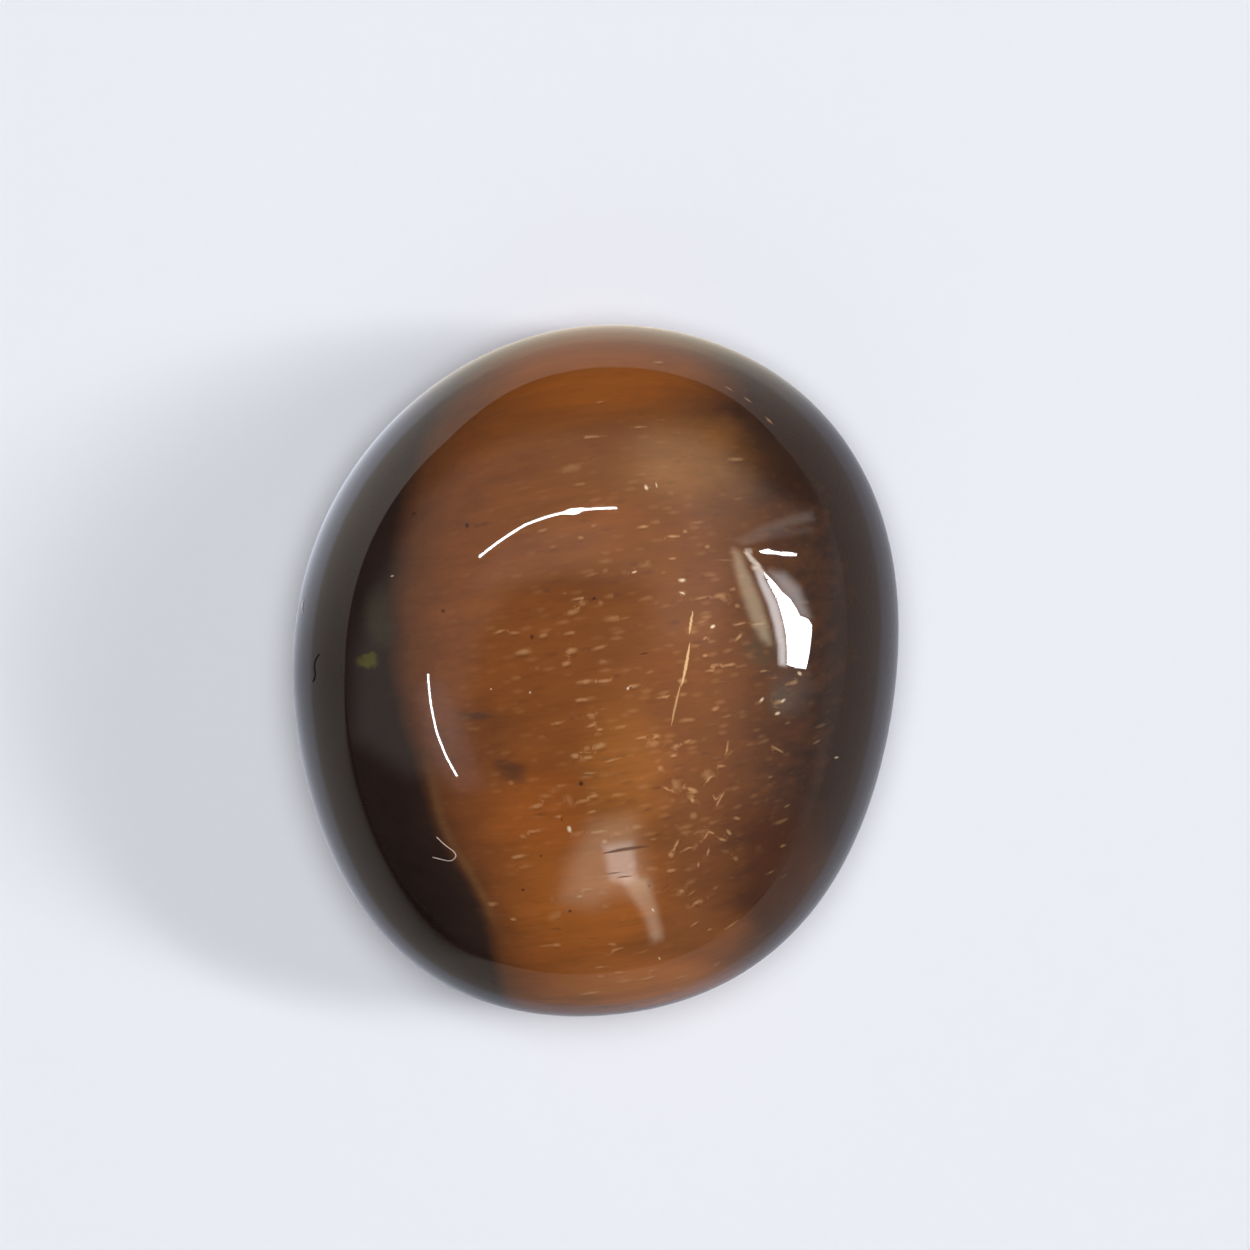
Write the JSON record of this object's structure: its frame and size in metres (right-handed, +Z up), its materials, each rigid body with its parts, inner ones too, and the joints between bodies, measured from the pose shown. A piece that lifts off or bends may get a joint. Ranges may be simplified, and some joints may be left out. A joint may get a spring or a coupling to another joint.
{
  "type": "tigers eye cabochon",
  "caption": "Polished oval tiger's eye cabochon with a high dome, a rounded girdle and a flat ground back, in banded brown and amber stone.",
  "frame": {"origin": "centre of the flat ground back, on the surface that the stone rests on", "axes": "+Z up through the dome, +Y along the stone's length, +X across it; the fibres run roughly along X"},
  "size_m": [0.0172, 0.02, 0.0082],
  "materials": {
    "tigers_eye": "polished"
  },
  "bodies": {
    "root": {"cabochon": "tigers_eye"}
  },
  "joints": []
}
